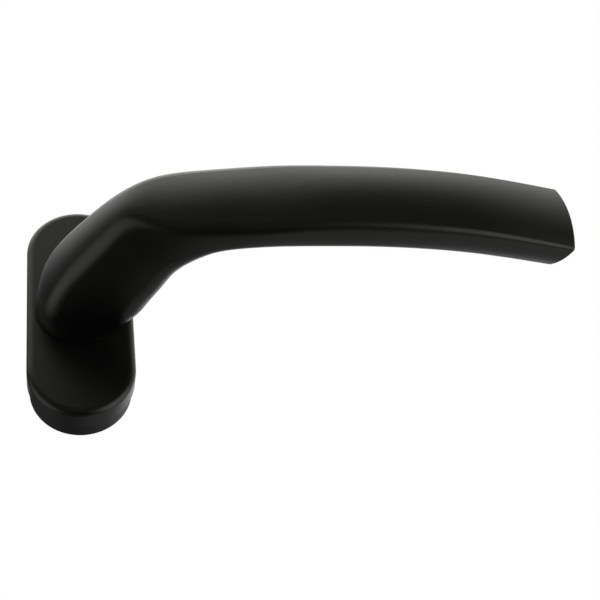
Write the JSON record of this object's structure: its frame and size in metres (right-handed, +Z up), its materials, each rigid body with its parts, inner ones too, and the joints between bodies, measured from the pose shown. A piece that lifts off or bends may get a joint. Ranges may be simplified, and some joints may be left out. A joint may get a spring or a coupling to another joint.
{
  "type": "tilt and turn window handle",
  "caption": "Window handle with a crowned, square-ended grip on a slanting neck that turns on a capsule-shaped rosette; the rosette's cover swivels to reach the fixing screws.",
  "frame": {"origin": "on the spindle's axis, in the plane where the rosette meets the window sash", "axes": "+X along the lever at rest, +Y into the sash along the spindle, +Z up the rosette"},
  "size_m": [0.1496, 0.102, 0.07],
  "materials": {
    "lever_finish": "satin",
    "cover_finish": "satin",
    "base_casting": "matte",
    "bush_plastic": "matte",
    "spindle_steel": "satin",
    "bright_steel": "satin",
    "spring_steel": "satin",
    "plated_sheet": "satin",
    "screw_steel": "satin"
  },
  "bodies": {
    "base": {"base_plate": "base_casting", "bearing_bush": "bush_plastic", "detent_spring_upper": "spring_steel", "detent_spring_lower": "spring_steel", "back_plate": "plated_sheet", "back_plate_screw_upper": "screw_steel", "back_plate_screw_lower": "screw_steel", "fixing_screw_upper": "screw_steel", "fixing_screw_lower": "screw_steel"},
    "lever": {"lever": "lever_finish", "spindle": "spindle_steel", "spindle_pin": "bright_steel", "index_cam": "bright_steel", "retaining_ring": "spring_steel", "thrust_washer": "bright_steel", "disc_spring": "spring_steel"},
    "cover": {"cover_cap": "cover_finish"}
  },
  "joints": [
    {"name": "lever_turn", "type": "hinge", "parent": "base", "child": "lever", "pos_m": [0, 0, 0], "axis": [0, -1, 0], "range_deg": [-90, 90], "deforming": ["detent_spring_upper", "detent_spring_lower"]},
    {"name": "cover_turn", "type": "hinge", "parent": "base", "child": "cover", "pos_m": [0, 0, 0], "axis": [0, -1, 0], "range_deg": [-90, 90]}
  ]
}
